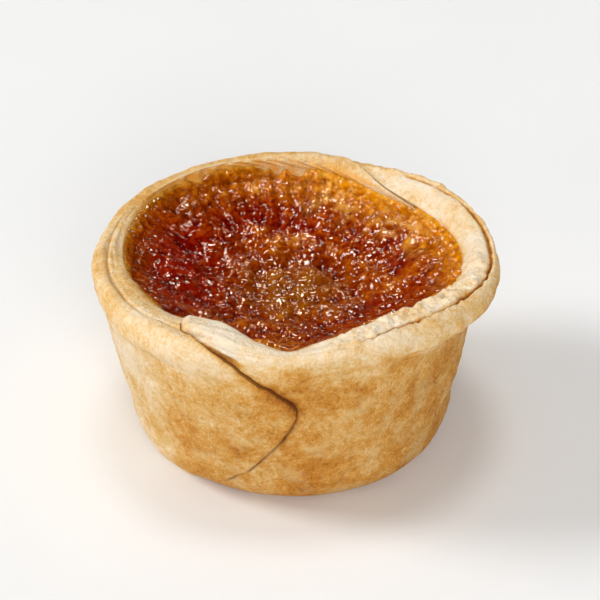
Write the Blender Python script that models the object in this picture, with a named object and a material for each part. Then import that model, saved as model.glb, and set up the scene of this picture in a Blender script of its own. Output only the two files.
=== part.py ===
"""A butter tart: a deep cup of folded shortcrust pastry holding a sunken, sticky caramel filling.

The dough was laid in a round tin with its two ends overlapping. One end lies outside at the front left, as a
flap whose edge runs down the wall in a slanting seam. The other end lies inside at the back right, where its
edge shows as a crease that dips towards the filling. Above the tin's edge the dough leans outwards.

Metres, +Z up. The origin is the middle of the base, and the front of the tart faces -Y.
Angles are degrees anticlockwise seen from above: 0 is +X (right), 90 is +Y (back), -90 is the front.
"""

import math

import bmesh
import bpy
import numpy as np

MM = 0.001

# Overall form of the pastry cup
RIM_RADIUS = 38.0 * MM
RIM_HEIGHT = 37.1 * MM
BASE_FLAT_RADIUS = 25.0 * MM
FOOT_RADIUS = 31.8 * MM
FOOT_SHRINK_RIGHT = 1.7 * MM
FOOT_HEIGHT = 8.5 * MM
TIN_EDGE_HEIGHT = 31.0 * MM
TIN_RADIUS_LEFT = 36.6 * MM
TIN_RADIUS_RIGHT = 33.3 * MM
BELLY = 0.4 * MM
SHOULDER_DROP = 2.8 * MM
WALL_THICKNESS = 4.2 * MM
FLOOR_THICKNESS = 5.0 * MM
FLOOR_ROUNDING = 4.0 * MM
INNER_BLEND_DEPTH = 8.0 * MM

# Layers of dough, their two overlaps and the groove along the rim
FLAP_THICKNESS = 1.5 * MM
FLAP_EDGE_SHARE = 0.6
FLAP_REACH = 62.0
LIP_THICKNESS = 1.0 * MM
LIP_REACH = 34.0
CREASE_THICKNESS = 1.2 * MM
CREASE_REACH = 45.0
GROOVE_HALF_WIDTH = 0.6 * MM
GROOVE_DEPTH = 0.9 * MM

# The seam and the crease at the middle of their slants, and how far round they draw the mesh's columns
SEAM_MIDDLE = -110.0
CREASE_MIDDLE = 52.0
DRAW_REACH = 80.0

# Filling
FILLING_GAP = 0.32 * MM
FILLING_EDGE_DROP = 3.5 * MM
FILLING_CENTRE_HEIGHT = 25.0 * MM
LUMP_COUNT = 130
LUMP_RADIUS = 4.2 * MM
LUMP_HEIGHT = 0.55 * MM

# Columns and rings of the meshes
COLUMN_STEP = 4.0
FILLING_COLUMNS = 84
FILLING_RINGS = 15

PASTRY_COLOUR = (0.70, 0.47, 0.21, 1.0)
FILLING_COLOUR = (0.37, 0.10, 0.015, 1.0)


def smooth(x):
    """0 below 0, 1 above 1, and the smooth cubic step between."""
    x = np.clip(x, 0.0, 1.0)
    return x * x * (3.0 - 2.0 * x)


def turn(angle):
    """An angle brought into -180 to 180."""
    return (np.asarray(angle, float) + 180.0) % 360.0 - 180.0


def swell(theta, centre, half_width):
    """A smooth rise and fall round the rim: 1 at the centre angle, 0 beyond half_width either side."""
    return smooth(1.0 - np.abs(turn(theta - centre)) / half_width)


def stretch(theta, start, end, fade):
    """1 for angles from start to end, anticlockwise, falling smoothly to 0 over fade outside them."""
    half = ((end - start) % 360.0) / 2.0
    return smooth((half + fade - np.abs(turn(theta - start - half))) / fade)


def rim_height(theta):
    """Height of the rim: up at the front left, where the inner layer's lip starts, and down either side."""
    return (
        RIM_HEIGHT
        + 0.7 * MM * swell(theta, 118.0, 50.0)
        - 0.7 * MM * swell(theta, 62.0, 26.0)
        + 1.1 * MM * swell(theta, -120.0, 26.0)
        - 0.5 * MM * swell(theta, -93.0, 12.0)
        + 1.1 * MM * swell(theta, -58.0, 45.0)
    )


def rim_radius(theta):
    """Outer radius of the rim, which isn't quite round."""
    return (
        RIM_RADIUS
        + 0.4 * MM * swell(theta, 120.0, 45.0)
        - 0.3 * MM * swell(theta, 70.0, 25.0)
        - 0.9 * MM * swell(theta, -80.0, 60.0)
    )


def tin_radius(theta):
    """Outer radius at the height of the tin's edge. The right side shrank away from the tin."""
    shrunk = swell(theta, 5.0, 105.0)
    return TIN_RADIUS_LEFT + (TIN_RADIUS_RIGHT - TIN_RADIUS_LEFT) * shrunk


def inner_edge_radius(theta):
    """Radius of the pastry's inner edge, where the rim turns down to the filling."""
    return (
        31.6 * MM
        + 3.1 * MM * swell(theta, 125.0, 75.0)
        - 1.1 * MM * swell(theta, -148.0, 26.0)
        - 2.0 * MM * swell(theta, -117.0, 20.0)
        + 1.2 * MM * swell(theta, -93.0, 9.0)
        - 2.2 * MM * swell(theta, -55.0, 36.0)
    )


def inner_edge_drop(theta):
    """How far the inner edge lies below the rim. On the right the rim is a wide band sloping down to it."""
    band = 1.7 * MM * stretch(theta, 5.0, 45.0, 35.0)
    lip = 0.4 * MM * stretch(theta, -125.0, -45.0, 20.0)
    return 0.8 * MM + band - lip


def groove_radius(theta):
    """Radius of the groove along the rim, between an outer lip of dough and the band inside it."""
    return 35.3 * MM + 1.1 * MM * stretch(theta, -5.0, 49.0, 30.0) - 2.0 * MM * swell(theta, -54.0, 44.0)


def groove_depth(theta):
    """Depth of that groove: deep on the right, shallow on the left, gone at the back and at the lip."""
    right = stretch(theta, -62.0, 46.0, 12.0)
    left = stretch(theta, 170.0, -128.0, 14.0)
    return GROOVE_DEPTH * np.maximum(right, 0.5 * left)


def outer_radius(theta, height):
    """Outer radius of the wall up to the tin's edge: a rounded foot, then a wall that widens upwards."""
    foot = np.clip(height / FOOT_HEIGHT, 0.0, 1.0)
    rounding = np.sqrt(1.0 - (1.0 - foot) ** 2)
    above = np.clip((height - FOOT_HEIGHT) / (TIN_EDGE_HEIGHT - FOOT_HEIGHT), 0.0, 1.0)
    widest = FOOT_RADIUS - FOOT_SHRINK_RIGHT * swell(theta, -8.0, 85.0)
    wall = widest + (tin_radius(theta) - widest) * above + BELLY * np.sin(math.pi * above)
    return BASE_FLAT_RADIUS + (wall - BASE_FLAT_RADIUS) * rounding


def inner_radius(theta, height):
    """Inner radius of the wall: the outer wall less its thickness, drawn to the rim's inner edge at the top
    and rounded into the floor at the bottom."""
    top = rim_height(theta) - inner_edge_drop(theta)
    share = smooth((height - top + INNER_BLEND_DEPTH) / INNER_BLEND_DEPTH)
    wall = outer_radius(theta, np.maximum(height, FOOT_HEIGHT)) - WALL_THICKNESS
    corner = 1.0 - np.clip((height - FLOOR_THICKNESS) / FLOOR_ROUNDING, 0.0, 1.0)
    rounding = FLOOR_ROUNDING * (1.0 - np.sqrt(1.0 - corner**2))
    return wall + (inner_edge_radius(theta) - wall) * share - rounding


def seam_angle(v):
    """Where the flap's edge lies at a place v along the profile: from the rim it slants down to the flap's
    corner, then turns back under it."""
    foot = [(1.0, -136), (1.3, -131), (1.5, -124), (1.62, -118), (1.75, -113.5), (1.95, -109)]
    below_corner = [(2.04, -105), (2.17, -101), (2.36, -96), (2.56, -91.5), (2.69, -90)]
    above_corner = [(2.8, -89.5), (2.89, -92.5), (3.0, -98), (4.0, -106)]
    over_the_rim = [(4.4, -111), (4.7, -116), (5.0, -120), (5.5, -124), (6.0, -126), (7.0, -131)]
    places, angles = zip(*(foot + below_corner + above_corner + over_the_rim))
    return np.interp(v, places, angles)


def crease_angle(v):
    """Where the inner layer's edge lies at a place v along the profile: it slants to the filling."""
    return np.interp(v, [4.0, 5.0, 5.5, 6.0, 6.5, 7.0, 7.1], [80.0, 76.0, 70.0, 63.0, 51.0, 35.0, 24.0])


def column_angle(column, v):
    """Angle of a column of the mesh at v: columns near the seam and the crease slant with them."""
    return (
        column
        + (seam_angle(v) - SEAM_MIDDLE) * swell(column, SEAM_MIDDLE, DRAW_REACH)
        + (crease_angle(v) - CREASE_MIDDLE) * swell(column, CREASE_MIDDLE, DRAW_REACH)
    )


def profile(theta, v):
    """Radius and height of the pastry's surface at v, which runs from the middle of the base up the outside,
    over the rim, down the inside and to the middle of the floor.

    0 to 1 is the base, 2 the foot, 3 the wall, 4 the leaning lip, 5 the outer crown, 6 the groove, 7 the
    band, 8 the inner wall and 9 the floor.
    """
    top = rim_height(theta)
    inner_top = top - inner_edge_drop(theta)
    groove_outer = groove_radius(theta) + GROOVE_HALF_WIDTH
    groove_inner = groove_radius(theta) - GROOVE_HALF_WIDTH
    part = np.floor(v)
    t = v - part
    quarter = np.radians(90.0 * t)

    wall_height = FOOT_HEIGHT + (TIN_EDGE_HEIGHT - FOOT_HEIGHT) * t
    foot_height = FOOT_HEIGHT * (1.0 - np.cos(quarter))
    lip_height = TIN_EDGE_HEIGHT + (top - SHOULDER_DROP - TIN_EDGE_HEIGHT) * t
    lip_radius = tin_radius(theta) + (rim_radius(theta) - tin_radius(theta)) * smooth(t)
    crown_radius = groove_outer + (rim_radius(theta) - groove_outer) * np.cos(quarter) ** 0.75
    crown_height = top - SHOULDER_DROP + SHOULDER_DROP * np.sin(quarter) ** 0.85
    band_radius = groove_inner + (inner_edge_radius(theta) - groove_inner) * t
    inner_height = inner_top + (FLOOR_THICKNESS - inner_top) * t
    sections = [
        (BASE_FLAT_RADIUS * t, 0.0 * theta),
        (outer_radius(theta, foot_height), foot_height),
        (outer_radius(theta, wall_height), wall_height),
        (lip_radius, lip_height),
        (crown_radius, crown_height),
        (groove_outer - 2.0 * GROOVE_HALF_WIDTH * t, top - groove_depth(theta) * np.sin(math.pi * t)),
        (band_radius, top + (inner_top - top) * t**2.2),
        (inner_radius(theta, inner_height), inner_height),
        (inner_radius(theta, FLOOR_THICKNESS) * (1.0 - t), FLOOR_THICKNESS + 0.0 * theta),
    ]
    radius = np.select([part == i for i in range(9)], [r + 0.0 * theta for r, _ in sections])
    height = np.select([part == i for i in range(9)], [z + 0.0 * theta for _, z in sections])
    return radius, height


def layer_lift(column, v):
    """How far the layers of dough stand out from the profile: the flap, the lip beside its start on the rim,
    and the inner layer beside the crease. Each ends sharply at its edge, where the
    flap is thinner, and fades away behind it."""
    behind_seam = turn(SEAM_MIDDLE - column)
    flap = smooth(1.0 - behind_seam / FLAP_REACH) * (behind_seam > 0.0)
    flap = flap * (FLAP_EDGE_SHARE + (1.0 - FLAP_EDGE_SHARE) * smooth(behind_seam / 12.0))
    lip = smooth(1.0 + behind_seam / LIP_REACH) * (behind_seam < 0.0)
    past_crease = turn(column - CREASE_MIDDLE)
    crease = smooth(1.0 - past_crease / CREASE_REACH) * (past_crease > 0.0)
    over_rim = 1.0 - 0.75 * smooth((v - 4.2) / 1.8) - 0.25 * smooth(v - 6.0)
    above_filling = smooth((7.08 - v) / 0.07)
    return (
        FLAP_THICKNESS * flap * smooth((v - 1.2) / 0.8) * over_rim
        + LIP_THICKNESS * lip * smooth((v - 5.7) / 0.6) * above_filling
        + CREASE_THICKNESS * crease * smooth((v - 4.6) / 0.8) * above_filling
    )


def hand_waves(theta, v):
    """The uneven thickness of hand-pressed dough outside and on the rim, and ribs down the back inside."""
    turned = np.radians(theta)
    outside = smooth((v - 1.3) / 0.7) * smooth((7.0 - v) / 0.5)
    wave = (
        np.sin(3.0 * turned + 2.1 * v + 0.6)
        + 0.7 * np.sin(7.0 * turned - 3.4 * v)
        + 0.4 * np.sin(11.0 * turned + 5.0 * v)
    )
    inside = smooth((v - 6.5) / 0.3) * smooth((7.1 - v) / 0.06) * swell(theta, 100.0, 55.0)
    return 0.14 * MM * outside * wave + 0.3 * MM * inside * np.sin(24.0 * turned)


def pastry_points(columns, places):
    """The pastry's surface at every place along the profile (rows) and column, as x, y and z."""
    column, v = np.meshgrid(columns, places)
    theta = column_angle(column, v)
    step = 0.004
    radius, height = profile(theta, v)
    radius_after, height_after = profile(theta, np.minimum(v + step, 8.9999))
    radius_before, height_before = profile(theta, np.maximum(v - step, 0.0))
    along_r = radius_after - radius_before
    along_z = height_after - height_before
    length = np.maximum(np.hypot(along_r, along_z), 1e-9)
    lift = layer_lift(column, v) + hand_waves(theta, v)
    radius = radius + lift * along_z / length
    height = height - lift * along_r / length
    turned = np.radians(theta)
    return np.stack([radius * np.cos(turned), radius * np.sin(turned), height], axis=-1)


def lump_height(x, y):
    """Rounded lumps of the boiled filling, spread evenly over its surface and each of its own size."""
    total = np.zeros(np.shape(x))
    for i in range(LUMP_COUNT):
        angle = math.radians(137.508 * i)
        distance = 31.0 * MM * math.sqrt((i + 0.5) / LUMP_COUNT)
        size = 0.75 + 0.5 * ((i * 0.618034) % 1.0)
        height = LUMP_HEIGHT * (1.0 if (i * 0.414214) % 1.0 < 0.62 else -0.8)
        away = np.hypot(x - distance * math.cos(angle), y - distance * math.sin(angle))
        total += height * size * smooth(1.0 - away / (LUMP_RADIUS * size))
    return total


def filling_edge_height(theta):
    """Height of the filling where it meets the pastry: it climbs the wall at the back and at the left."""
    climb = 0.9 * MM * stretch(theta, 0.0, 190.0, 40.0)
    return rim_height(theta) - inner_edge_drop(theta) - FILLING_EDGE_DROP + climb


def filling_surface(theta, share):
    """The filling's top: a sunken dish, steep by the wall and level in the middle, with lumps on it."""
    edge_height = filling_edge_height(theta)
    radius = share * (inner_radius(theta, edge_height) - FILLING_GAP)
    x = radius * np.cos(np.radians(theta))
    y = radius * np.sin(np.radians(theta))
    dish = FILLING_CENTRE_HEIGHT + (edge_height - FILLING_CENTRE_HEIGHT) * share**2.3
    return np.stack([x, y, dish + lump_height(x, y) * smooth((1.0 - share) / 0.12)], axis=-1)


def filling_side(theta, depth):
    """The filling's side, which follows the inner wall down to the floor, a small gap inside it."""
    bottom = FLOOR_THICKNESS + FILLING_GAP
    height = filling_edge_height(theta) * (1.0 - depth) + bottom * depth
    rounding = 1.4 * FLOOR_ROUNDING
    corner = 1.0 - np.clip((height - bottom) / rounding, 0.0, 1.0)
    wall = inner_radius(theta, np.maximum(height, FLOOR_THICKNESS + FLOOR_ROUNDING)) - FILLING_GAP
    radius = wall - rounding * (1.0 - np.sqrt(1.0 - corner**2))
    turned = np.radians(theta)
    return np.stack([radius * np.cos(turned), radius * np.sin(turned), height], axis=-1)


def closed_object(name, rings, middle_height, colour, roughness):
    """An object from rings of points, each closed on itself: the first is filled by one flat face, and the
    last by a fan of faces to a point on the Z axis."""
    count = rings.shape[1]
    mesh_builder = bmesh.new()
    rows = [[mesh_builder.verts.new(point) for point in ring] for ring in rings]
    middle = mesh_builder.verts.new((0.0, 0.0, middle_height))
    mesh_builder.faces.new(reversed(rows[0]))
    for i in range(count):
        j = (i + 1) % count
        for lower, upper in zip(rows, rows[1:]):
            mesh_builder.faces.new((lower[i], lower[j], upper[j], upper[i]))
        mesh_builder.faces.new((middle, rows[-1][i], rows[-1][j]))
    bmesh.ops.recalc_face_normals(mesh_builder, faces=mesh_builder.faces)
    for face in mesh_builder.faces:
        face.smooth = len(face.verts) <= 4
    mesh = bpy.data.meshes.new(name)
    mesh_builder.to_mesh(mesh)
    mesh_builder.free()

    material = bpy.data.materials.new(name)
    material.use_nodes = True
    shader = material.node_tree.nodes["Principled BSDF"]
    shader.inputs["Base Color"].default_value = colour
    shader.inputs["Roughness"].default_value = roughness
    shader.inputs["Metallic"].default_value = 0.0
    material.diffuse_color = colour
    mesh.materials.append(material)

    made = bpy.data.objects.new(name, mesh)
    bpy.context.scene.collection.objects.link(made)
    return made


def mesh_columns():
    """Angles of the pastry's columns: even steps, and close pairs either side of the seam and the crease."""
    close = [-0.9, -0.2, 0.2, 0.9]
    steps = [i * COLUMN_STEP - 180.0 for i in range(int(360.0 / COLUMN_STEP))]
    edges = (SEAM_MIDDLE, CREASE_MIDDLE)
    kept = [angle for angle in steps if all(abs(turn(angle - edge)) > 2.0 for edge in edges)]
    return np.array(sorted(kept + [edge + offset for edge in edges for offset in close]))


for old in list(bpy.data.objects):
    bpy.data.objects.remove(old)

OUTSIDE_PLACES = [1.0, 1.3, 1.6, 1.8, 2.0, 2.17, 2.36, 2.56, 2.7, 2.8, 2.9, 3.0, 3.35, 3.7, 4.0, 4.3, 4.65]
RIM_PLACES = [5.0, 5.5, 5.9999, 6.35, 6.7, 6.9999]
INSIDE_PLACES = [7.03, 7.06, 7.1, 7.15, 7.2, 7.26, 7.5, 7.8, 7.88, 7.94, 7.98, 7.9999]
pastry_places = np.array(OUTSIDE_PLACES + RIM_PLACES + INSIDE_PLACES)
pastry_rings = pastry_points(mesh_columns(), pastry_places)
pastry_rings[0, :, 2] = 0.0
closed_object("pastry_shell", pastry_rings, FLOOR_THICKNESS, PASTRY_COLOUR, 0.75)

filling_angles = np.arange(FILLING_COLUMNS) * 360.0 / FILLING_COLUMNS
depths = np.array([1.0, 0.97, 0.93, 0.86, 0.55, 0.25, 0.19, 0.14, 0.09, 0.045])
side = filling_side(filling_angles[None, :], depths[:, None])
shares = 1.0 - np.arange(FILLING_RINGS) / FILLING_RINGS
top_surface = filling_surface(filling_angles[None, :], shares[:, None])
middle_height = FILLING_CENTRE_HEIGHT + float(lump_height(0.0, 0.0))
closed_object("filling", np.concatenate([side, top_surface]), middle_height, FILLING_COLOUR, 0.25)
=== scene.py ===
"""A butter tart on a pale floor: folded shortcrust pastry round a sunken, glossy caramel filling.

Every surface is a function of two parameters on a grid, worked out as whole arrays. Lengths are metres, +Z is
up, the origin is the middle of the base, and the front of the tart faces -Y. Angles are degrees anticlockwise
seen from above: 0 is +X (right), 90 is +Y (back), -90 is the front.
"""

import functools
import math

import bpy
import numpy as np
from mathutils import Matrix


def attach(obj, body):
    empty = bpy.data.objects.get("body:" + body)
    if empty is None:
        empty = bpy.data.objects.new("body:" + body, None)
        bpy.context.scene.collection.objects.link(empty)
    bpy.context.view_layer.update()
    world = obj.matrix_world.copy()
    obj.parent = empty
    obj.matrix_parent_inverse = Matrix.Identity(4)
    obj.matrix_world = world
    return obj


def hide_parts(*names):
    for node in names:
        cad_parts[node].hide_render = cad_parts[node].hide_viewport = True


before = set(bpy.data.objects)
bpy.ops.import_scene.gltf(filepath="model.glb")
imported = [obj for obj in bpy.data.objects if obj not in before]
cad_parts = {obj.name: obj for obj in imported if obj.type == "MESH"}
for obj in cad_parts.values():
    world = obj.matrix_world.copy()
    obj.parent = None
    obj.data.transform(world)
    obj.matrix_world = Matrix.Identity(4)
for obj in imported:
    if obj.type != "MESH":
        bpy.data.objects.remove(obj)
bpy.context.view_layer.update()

MM = 0.001

# Overall form of the pastry cup, as in the solids
RIM_RADIUS = 38.0 * MM
RIM_HEIGHT = 37.1 * MM
BASE_FLAT_RADIUS = 25.0 * MM
FOOT_RADIUS = 31.8 * MM
FOOT_SHRINK_RIGHT = 1.7 * MM
FOOT_HEIGHT = 8.5 * MM
TIN_EDGE_HEIGHT = 31.0 * MM
TIN_RADIUS_LEFT = 36.6 * MM
TIN_RADIUS_RIGHT = 33.3 * MM
BELLY = 0.4 * MM
SHOULDER_DROP = 2.8 * MM
WALL_THICKNESS = 4.2 * MM
FLOOR_THICKNESS = 5.0 * MM
FLOOR_ROUNDING = 4.0 * MM
INNER_BLEND_DEPTH = 8.0 * MM

# Layers of dough, their two overlaps and the groove along the rim
FLAP_THICKNESS = 1.5 * MM
FLAP_EDGE_SHARE = 0.5
FLAP_REACH = 62.0
STEP_ROUNDING_WIDTH = 1.1
STEP_ROUNDING_SHARE = 0.35
LIP_THICKNESS = 1.0 * MM
LIP_REACH = 34.0
CREASE_THICKNESS = 1.2 * MM
CREASE_REACH = 45.0
GROOVE_HALF_WIDTH = 0.6 * MM
GROOVE_DEPTH = 0.9 * MM
SEAM_MIDDLE = -110.0
CREASE_MIDDLE = 52.0
DRAW_REACH = 80.0

# Steps of the calculation: along the profile for its slope, and how often the inner edge is averaged
SLOPE_STEP = 0.004
EDGE_ROUNDINGS = 6

# Filling
FILLING_EDGE_DROP = 3.5 * MM
FILLING_CENTRE_HEIGHT = 25.0 * MM
LUMP_COUNT = 130
LUMPS_REACH = 31.0 * MM
GOLDEN_ANGLE = 137.508
LUMP_RADIUS = 4.2 * MM
LUMP_HEIGHT = 0.55 * MM
FILM_THICKNESS = 1.3 * MM
FILM_SHARE = 0.14
FILLING_POINTS_ACROSS = 291

# Fine relief of the dough and the filling: how far apart the swells or pebbles are and how high, in mm
DOUGH_SWELLS = ((7.0, 0.22), (3.2, 0.13), (1.6, 0.07))
JAM_SWELLS = ((5.0, 0.70), (1.8, 0.16))
JAM_PEBBLES = ((2.3, 0.43), (1.15, 0.22))
RIB_HEIGHT = 0.4 * MM
HAND_WAVE_HEIGHT = 0.14 * MM
RIDGE_HEIGHT = 0.16 * MM
LEDGE_DEPTH = 0.28 * MM

# Patches in the filling, in mm: strength, middle x and y, half width in x and y
RED_PATCHES = (
    (1.8, -22.0, 4.0, 10.0, 14.0),
    (0.6, -2.0, 24.0, 9.0, 5.0),
    (0.55, 13.0, -6.0, 9.0, 7.0),
    (0.6, 21.0, 11.0, 6.0, 6.0),
    (0.25, 20.0, -4.0, 7.0, 8.0),
)
OCHRE_PATCH = (1.0, -1.0, 4.0, 11.0, 10.0)
CALM_PATCH = (1.0, -22.0, 6.0, 10.0, 14.0)

# Numbers of a colour mix node's inputs and of its output
MIX_SHARE, MIX_UNDER, MIX_OVER = 0, 6, 7
MIX_COLOUR = 2

# Softboxes that only show as glints in the filling: azimuth, elevation, size in metres and power in watts
GLINTS = {
    "back": (93.0, 58.0, 0.55, 23.0),
    "front": (-100.0, 72.0, 0.35, 11.0),
    "right": (62.0, 28.0, 0.2, 1.5),
}
GLINT_DISTANCE = 2.0
WARM_WHITE = (1.0, 0.94, 0.82)

# The camera stands about 46 cm from the tart and looks down at it
CAMERA_PLACE = (0.79 * MM, -378.127 * MM, 269.977 * MM)
CAMERA_DOWNWARD_ANGLE = 32.83
CAMERA_LENS_MM = 142.4


def smooth(x):
    """The cubic step 3x^2 - 2x^3: 0 below 0, 1 above 1."""
    x = np.clip(x, 0.0, 1.0)
    return x * x * (3.0 - 2.0 * x)


def turn(angle):
    """An angle brought into -180 to 180."""
    return (np.asarray(angle, float) + 180.0) % 360.0 - 180.0


def swell(theta, centre, half_width):
    """A smooth rise and fall round the rim: 1 at the centre angle, 0 beyond half_width either side."""
    return smooth(1.0 - np.abs(turn(theta - centre)) / half_width)


def stretch(theta, start, end, fade):
    """1 for angles from start to end, anticlockwise, falling smoothly to 0 over fade outside them."""
    half = ((end - start) % 360.0) / 2.0
    return smooth((half + fade - np.abs(turn(theta - start - half))) / fade)


def between(v, low, high, fade):
    """1 where v lies from low to high, falling smoothly to 0 over fade outside them."""
    return smooth((v - low) / fade + 1.0) * smooth((high - v) / fade + 1.0)


def hill(x, centre, width):
    """The bell curve exp(-((x - centre) / width)^2)."""
    return np.exp(-(((x - centre) / width) ** 2))


def patch(points, strength, middle_x, middle_y, width_x, width_y):
    """A soft oval patch seen from above, in mm: one bell curve in x times one in y."""
    x, y = points[..., 0] / MM, points[..., 1] / MM
    return strength * hill(x, middle_x, width_x) * hill(y, middle_y, width_y)


def lattice(x, y, z, seed):
    """A repeatable number from 0 to 1 for each whole-number point: its coordinates times large odd numbers,
    mixed by shifts and one more product."""
    mixed = (x * 374761393 + y * 668265263 + z * 1442695041 + seed * 974634777) & 0xFFFFFFFF
    mixed = ((mixed ^ (mixed >> 13)) * 1274126177) & 0xFFFFFFFF
    return ((mixed ^ (mixed >> 16)) & 0xFFFFFF) / float(0xFFFFFF)


def noise(points, size, seed):
    """Random swells about size across, from -1 to 1. Each lattice point has a random slope, and the slopes'
    planes at a cell's eight corners are blended by the quintic 6t^5 - 15t^4 + 10t^3."""
    scaled = points / size
    cell = np.floor(scaled).astype(np.int64)
    offset = scaled - cell
    blend = offset**3 * (offset * (offset * 6.0 - 15.0) + 10.0)
    total = np.zeros(points.shape[:-1])
    for corner in np.ndindex(2, 2, 2):
        at = [cell[..., k] + corner[k] for k in range(3)]
        weight = np.ones_like(total)
        slope = np.zeros_like(total)
        for k in range(3):
            weight = weight * (blend[..., k] if corner[k] else 1.0 - blend[..., k])
            slope = slope + (2.0 * lattice(*at, seed + 17 * k) - 1.0) * (offset[..., k] - corner[k])
        total += weight * slope
    return np.clip(1.7 * total, -1.0, 1.0)


def pebbles(points, size, seed):
    """Packed rounded pebbles about size apart, from -1 in the cracks between them to 1 on their tops: 1 less
    the square of the distance to the nearest of a lattice's random points, where each point's own random
    number lifts or lowers its pebble."""
    scaled = points / size
    cell = np.floor(scaled).astype(np.int64)
    best = np.full(points.shape[:-1], -9.0)
    for step in np.ndindex(3, 3, 3):
        at = [cell[..., k] + step[k] - 1 for k in range(3)]
        away = [at[k] + lattice(*at, seed + 31 * k) - scaled[..., k] for k in range(3)]
        dome = 0.35 * lattice(*at, seed + 101) - away[0] ** 2 - away[1] ** 2 - away[2] ** 2
        best = np.maximum(best, dome)
    return np.clip(1.0 + 2.6 * best, -1.0, 1.0)


def rim_height(theta):
    """Height of the rim: up at the front left, where the inner layer's lip starts, and down either side."""
    return (
        RIM_HEIGHT
        + 0.7 * MM * swell(theta, 118.0, 50.0)
        - 0.7 * MM * swell(theta, 62.0, 26.0)
        + 1.1 * MM * swell(theta, -120.0, 26.0)
        - 0.5 * MM * swell(theta, -93.0, 12.0)
        + 1.1 * MM * swell(theta, -58.0, 45.0)
    )


def rim_radius(theta):
    """Outer radius of the rim, which isn't quite round."""
    return (
        RIM_RADIUS
        + 0.4 * MM * swell(theta, 120.0, 45.0)
        - 0.3 * MM * swell(theta, 70.0, 25.0)
        - 0.9 * MM * swell(theta, -80.0, 60.0)
    )


def tin_radius(theta):
    """Outer radius at the height of the tin's edge: the left's all round, drawn in on the right."""
    shrunk = swell(theta, 5.0, 105.0)
    return TIN_RADIUS_LEFT + (TIN_RADIUS_RIGHT - TIN_RADIUS_LEFT) * shrunk


def inner_edge_radius(theta):
    """Radius of the pastry's inner edge, where the rim turns down to the filling."""
    return (
        31.6 * MM
        + 3.1 * MM * swell(theta, 125.0, 75.0)
        - 1.1 * MM * swell(theta, -148.0, 26.0)
        - 2.0 * MM * swell(theta, -117.0, 20.0)
        + 1.2 * MM * swell(theta, -93.0, 9.0)
        - 2.6 * MM * swell(theta, -57.0, 36.0)
        - 1.4 * MM * swell(theta, -32.0, 40.0)
    )


def inner_edge_drop(theta):
    """How far the inner edge lies below the rim. On the right the rim is a wide band sloping down to it."""
    band = 1.7 * MM * stretch(theta, 5.0, 45.0, 35.0)
    lip = 0.4 * MM * stretch(theta, -125.0, -45.0, 20.0)
    return 0.8 * MM + band - lip


def inner_top(theta):
    """Height of the pastry's inner edge."""
    return rim_height(theta) - inner_edge_drop(theta)


def groove_radius(theta):
    """Radius of the groove along the rim, between an outer lip of dough and the band inside it."""
    return 35.3 * MM + 1.1 * MM * stretch(theta, -5.0, 49.0, 30.0) - 2.0 * MM * swell(theta, -54.0, 44.0)


def groove_share(theta):
    """Depth of that groove as a share: 1 on the right, half on the left, 0 at the back and at the lip."""
    right = stretch(theta, -62.0, 46.0, 12.0)
    left = stretch(theta, 170.0, -128.0, 14.0)
    return np.maximum(right, 0.5 * left)


def outer_radius(theta, height):
    """Outer radius of the wall up to the tin's edge: a quarter ellipse for the foot, then a straight taper
    with half a sine wave of belly."""
    foot = np.clip(height / FOOT_HEIGHT, 0.0, 1.0)
    rounding = np.sqrt(1.0 - (1.0 - foot) ** 2)
    above = np.clip((height - FOOT_HEIGHT) / (TIN_EDGE_HEIGHT - FOOT_HEIGHT), 0.0, 1.0)
    widest = FOOT_RADIUS - FOOT_SHRINK_RIGHT * swell(theta, -8.0, 85.0)
    wall = widest + (tin_radius(theta) - widest) * above + BELLY * np.sin(math.pi * above)
    return BASE_FLAT_RADIUS + (wall - BASE_FLAT_RADIUS) * rounding


def inner_radius(theta, height):
    """Inner radius of the wall: the outer wall less its thickness, drawn by a smooth step to the rim's inner
    edge at the top, and rounded into the floor by a quarter circle."""
    share = smooth((height - inner_top(theta) + INNER_BLEND_DEPTH) / INNER_BLEND_DEPTH)
    wall = outer_radius(theta, np.maximum(height, FOOT_HEIGHT)) - WALL_THICKNESS
    corner = 1.0 - np.clip((height - FLOOR_THICKNESS) / FLOOR_ROUNDING, 0.0, 1.0)
    rounding = FLOOR_ROUNDING * (1.0 - np.sqrt(1.0 - corner**2))
    return wall + (inner_edge_radius(theta) - wall) * share - rounding


def through(v, places, values):
    """A smooth curve through values at places: straight lines between them, averaged over a short window."""
    return sum(np.interp(v + shift, places, values) for shift in (-0.06, -0.03, 0.0, 0.03, 0.06)) / 5.0


def seam_angle(v):
    """Where the flap's edge lies at a place v along the profile: from the rim it slants down to the flap's
    corner, then turns back under it."""
    foot = [(1.0, -136), (1.3, -131), (1.5, -124), (1.62, -118), (1.75, -113.5), (1.95, -109)]
    below_corner = [(2.04, -105), (2.17, -101), (2.36, -96), (2.56, -91.5), (2.69, -90)]
    above_corner = [(2.8, -89.5), (2.89, -92.5), (3.0, -98), (4.0, -106)]
    over_the_rim = [(4.4, -111), (4.7, -116), (5.0, -120), (5.5, -124), (6.0, -126), (7.0, -131)]
    places, angles = zip(*(foot + below_corner + above_corner + over_the_rim))
    ragged = 0.16 * np.sin(19.0 * v) + 0.07 * np.sin(47.0 * v + 1.0)
    return through(v, places, angles) + ragged


def crease_angle(v):
    """Where the inner layer's edge lies at a place v along the profile: it slants to the filling."""
    places = [4.0, 5.0, 5.5, 6.0, 6.5, 6.95, 7.06, 7.1]
    return np.interp(v, places, [79.0, 75.5, 73.0, 70.0, 65.0, 58.0, 28.0, 24.0])


def column_angle(column, v):
    """Angle of a column of the mesh at v: columns near the seam and the crease slant with them."""
    return (
        column
        + (seam_angle(v) - SEAM_MIDDLE) * swell(column, SEAM_MIDDLE, DRAW_REACH)
        + (crease_angle(v) - CREASE_MIDDLE) * swell(column, CREASE_MIDDLE, DRAW_REACH)
    )


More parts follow.
